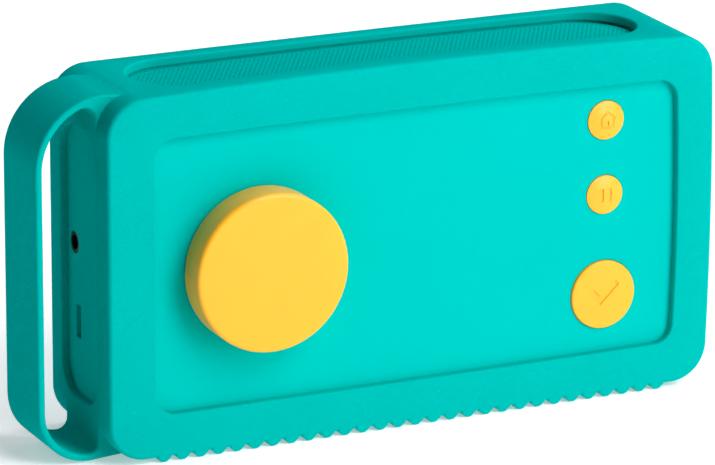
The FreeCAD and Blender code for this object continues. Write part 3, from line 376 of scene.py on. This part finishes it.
FINISHES = {
    "turquoise_silicone": silicone(),
    "turquoise_plastic": turquoise_moulded("turquoise_plastic", PANEL_TURQUOISE, 0.48, 0.32, 0.008),
    "grille_mesh": turquoise_moulded("grille_mesh", GRILLE_TURQUOISE, 0.5, 0.25, 0.012),
    "yellow_plastic": moulded("yellow_plastic", YELLOW, 0.40, 0.30, 0.004, 0.1, glow=0.08, spread=0.015,
                              polish=0.55),
    "black_plastic": moulded("black_plastic", srgb(18, 18, 20), 0.5, 0.35, 0.015, 0.1),
    "white_nylon": moulded("white_nylon", srgb(226, 223, 210), 0.42, 0.4, 0.010, 0.4, glow=0.2),
    "black_foam": foam(),
    "black_rubber": soft_rubber(),
    "black_cloth": woven_cloth(),
    "black_paper": pressed_paper(),
    "ferrite": ferrite(),
    "bright_steel": plated("bright_steel", srgb(205, 207, 208), 0.3),
    "dark_steel": plated("dark_steel", srgb(88, 89, 92), 0.38),
    "green_board": circuit_board(),
    "red_lead": lead_insulation(),
    "amber_film": film_cable(),
    "battery_foil": pouch_foil(),
    "screen_glass": display_glass(),
}


# ---------------------------------------------------------------- finishes on the CAD parts

SHARP_DEGREES = 32.0
SEAM_GAP = 0.001 * MM


def smooth_modifier():
    """Node group that welds the split seams of a mesh, then shades it smooth except at real edges."""
    group = bpy.data.node_groups.new("smooth_by_angle", "GeometryNodeTree")
    group.interface.new_socket("Geometry", in_out="INPUT", socket_type="NodeSocketGeometry")
    group.interface.new_socket("Geometry", in_out="OUTPUT", socket_type="NodeSocketGeometry")
    start, end = group.nodes.new("NodeGroupInput"), group.nodes.new("NodeGroupOutput")
    weld = group.nodes.new("GeometryNodeMergeByDistance")
    weld.inputs["Distance"].default_value = SEAM_GAP
    angle = group.nodes.new("GeometryNodeInputMeshEdgeAngle")
    limit = group.nodes.new("FunctionNodeCompare")
    limit.data_type, limit.operation = "FLOAT", "LESS_THAN"
    limit.inputs["B"].default_value = math.radians(SHARP_DEGREES)
    faces = group.nodes.new("GeometryNodeSetShadeSmooth")
    faces.domain = "FACE"
    edges = group.nodes.new("GeometryNodeSetShadeSmooth")
    edges.domain = "EDGE"
    for source, target in (
        (start.outputs[0], weld.inputs["Geometry"]),
        (weld.outputs["Geometry"], faces.inputs["Geometry"]),
        (faces.outputs["Geometry"], edges.inputs["Geometry"]),
        (angle.outputs["Unsigned Angle"], limit.inputs["A"]),
        (limit.outputs["Result"], edges.inputs["Shade Smooth"]),
        (edges.outputs["Geometry"], end.inputs[0]),
    ):
        group.links.new(source, target)
    return group


SMOOTH = smooth_modifier()


def smooth(piece):
    modifier = piece.modifiers.new("smooth", "NODES")
    modifier.node_group = SMOOTH


def dress(piece, slot):
    """Gives an object one finish for all its faces."""
    piece.data.materials.clear()
    piece.data.materials.append(FINISHES[slot])


for part in frame["record"]["subparts"]:
    node = frame["nodes"][part["node"]]
    dress(node, part["material_slot"])
    smooth(node)


# ---------------------------------------------------------------- speaker grille

HOLE_PITCH = 1.25 * MM
HOLE_R = 0.27 * MM
HOLE_SIDES = 6
GRILLE_RIM = 0.9 * MM        # plain border outside the outermost holes
GRILLE_DEPTH = 0.8 * MM
END_STEPS = 32               # straight pieces in each round end
SIDE_STEP = 2 * MM
FILLED_TRIANGLES = 1         # delaunay_2d_cdt keeps what lies inside the outline
SAME_POINT = 1e-7            # points nearer than this are one


def racetrack(half, radius):
    """Points round an outline with two straight sides along X and two round ends."""
    points = []
    for side in (1, -1):
        for k in range(END_STEPS + 1):
            angle = math.pi * (k / END_STEPS - 0.5)
            points.append(Vector((side * (half + radius * math.cos(angle)), side * radius * math.sin(angle))))
        runs = int(2 * half / SIDE_STEP)
        for k in range(1, runs):
            points.append(Vector((side * half * (1 - 2 * k / runs), side * radius)))
    return points


def hole_centres(half, radius):
    """Centres of a staggered pattern of holes that stays inside a racetrack."""
    centres = []
    row_pitch = HOLE_PITCH * math.sqrt(0.75)
    rows, columns = int(radius / row_pitch), int((half + radius) / HOLE_PITCH) + 1
    for row in range(-rows, rows + 1):
        for column in range(-columns, columns + 1):
            x = (column + (0.5 if row % 2 else 0.0)) * HOLE_PITCH
            y = row * row_pitch
            if radius - math.hypot(max(abs(x) - half, 0.0), y) > HOLE_R + GRILLE_RIM:
                centres.append(Vector((x, y)))
    return centres


def perforated_grille():
    """The speaker grille as a thin plate with rows of small round holes, curved along the case's top."""
    low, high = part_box("speaker_grille")
    middle = (Vector(low) + Vector(high)) / 2
    radius = (high[1] - low[1]) / 2
    half = (high[0] - low[0]) / 2 - radius
    cad = frame["nodes"]["speaker_grille"].data
    end_height = max(v.co.z for v in cad.vertices if v.co.x < low[0] + MM)
    fall = (high[2] - end_height) / (half + radius) ** 2

    outline = racetrack(half, radius)
    points = list(outline)
    edges = [(k, (k + 1) % len(outline)) for k in range(len(outline))]
    centres = hole_centres(half, radius)
    tree = KDTree(len(centres))
    for index, centre in enumerate(centres):
        tree.insert((centre.x, centre.y, 0), index)
        first = len(points)
        for k in range(HOLE_SIDES):
            angle = 2 * math.pi * k / HOLE_SIDES
            points.append(centre + HOLE_R * Vector((math.cos(angle), math.sin(angle))))
            edges.append((first + k, first + (k + 1) % HOLE_SIDES))
    tree.balance()
    flat, _, faces, _, _, _ = delaunay_2d_cdt(points, edges, [], FILLED_TRIANGLES, SAME_POINT)

    bm = bmesh.new()
    top = [bm.verts.new((middle.x + p.x, middle.y + p.y, high[2] - fall * p.x ** 2)) for p in flat]
    for face in faces:
        centre = sum((flat[i] for i in face), Vector((0, 0))) / len(face)
        if tree.find((centre.x, centre.y, 0))[2] > HOLE_R * 0.95:
            bm.faces.new([top[i] for i in face])
    bmesh.ops.delete(bm, geom=[v for v in bm.verts if not v.link_faces], context="VERTS")
    grown = bmesh.ops.extrude_face_region(bm, geom=bm.faces[:], use_keep_orig=True)
    for item in grown["geom"]:
        if isinstance(item, bmesh.types.BMVert):
            item.co.z -= GRILLE_DEPTH
    bmesh.ops.recalc_face_normals(bm, faces=bm.faces[:])
    mesh = bpy.data.meshes.new("perforated_grille")
    bm.to_mesh(mesh)
    bm.free()

    plate = placed("perforated_grille", mesh)
    dress(plate, "grille_mesh")
    smooth(plate)
    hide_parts("speaker_grille")
    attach(plate, "root")


perforated_grille()


# ---------------------------------------------------------------- studio

FLOOR_HALF = 6.0
FLOOR_DROP = 0.1 * MM        # keeps the floor from touching the object's underside
FLOOR_GLOW = 0.35

LAMP_SIZE = 0.9
LAMP_DISTANCE = 1.5
LAMPS = (                    # name, azimuth, elevation, watts, colour
    ("key", 22, 45, 15.2, WHITE),
    ("low_front", 26, 12, 10.9, WHITE),
    ("right", 90, 45, 10.8, WHITE),
    ("left_rear", -150, 35, 4.0, (0.80, 0.86, 1.0)),
    ("top_rear", 150, 70, 2.6, WHITE),
)

LENS = 251.2
SENSOR_WIDTH = 36.0
CAMERA_AZIMUTH, CAMERA_ELEVATION, CAMERA_ROLL = -25.352, 16.655, 0.288
CAMERA_AIM = Vector((-16.05, -19.4, 51.15)) * MM
CAMERA_DISTANCE = 1.1996


def from_angles(azimuth, elevation):
    """Unit vector towards a viewer; azimuth 0 is in front of the object and grows towards its right."""
    a, e = math.radians(azimuth), math.radians(elevation)
    return Vector((math.sin(a) * math.cos(e), -math.cos(a) * math.cos(e), math.sin(e)))


def pale_floor():
    """A plain floor just under the object, with a faint glow of its own that keeps its shadows soft."""
    mesh = bpy.data.meshes.new("floor")
    corners = [(x * FLOOR_HALF, y * FLOOR_HALF, 0) for x, y in ((-1, -1), (1, -1), (1, 1), (-1, 1))]
    mesh.from_pydata(corners, [], [(0, 1, 2, 3)])
    floor = placed("floor", mesh)
    floor.location.z = CAD_BOX[0].z - FLOOR_DROP
    look = Look("pale_floor")
    look.colour(look.mix(look.noise(40.0, 3.0), srgb(244, 245, 246), srgb(250, 250, 251)))
    look.roughness(0.9)
    look.set(Specular_IOR_Level=0.1, Emission_Color=(1, 1, 1, 1), Emission_Strength=FLOOR_GLOW)
    mesh.materials.append(look.material)


def studio_light():
    """Large soft lamps in front and at the right, weak ones behind, and a world that adds no light."""
    world = bpy.data.worlds.new("studio")
    world.use_nodes = True
    world.node_tree.nodes["Background"].inputs["Strength"].default_value = 0.0
    bpy.context.scene.world = world

    low, high = CAD_BOX
    target = Vector(((low.x + high.x) / 2, 0, high.z / 2))
    for name, azimuth, elevation, watts, tint in LAMPS:
        light = bpy.data.lights.new(name, "AREA")
        light.shape, light.size, light.energy, light.color = "DISK", LAMP_SIZE, watts, tint
        lamp = placed(name, light)
        away = from_angles(azimuth, elevation)
        lamp.location = target + away * LAMP_DISTANCE
        lamp.rotation_euler = (-away).to_track_quat("-Z", "Y").to_euler()


def camera():
    """A long lens from the front left, a little above the object."""
    data = bpy.data.cameras.new("camera")
    data.lens = LENS
    data.sensor_width = SENSOR_WIDTH
    data.clip_start, data.clip_end = 0.1, 20.0
    eye = placed("camera", data)
    away = from_angles(CAMERA_AZIMUTH, CAMERA_ELEVATION)
    eye.location = CAMERA_AIM + away * CAMERA_DISTANCE
    eye.rotation_mode = "QUATERNION"
    level = (-away).to_track_quat("-Z", "Y")
    eye.rotation_quaternion = level @ Quaternion((0, 0, 1), math.radians(CAMERA_ROLL))
    bpy.context.scene.camera = eye


pale_floor()
studio_light()
camera()
bpy.context.scene.view_settings.view_transform = "Standard"
bpy.context.scene.view_settings.look = "None"
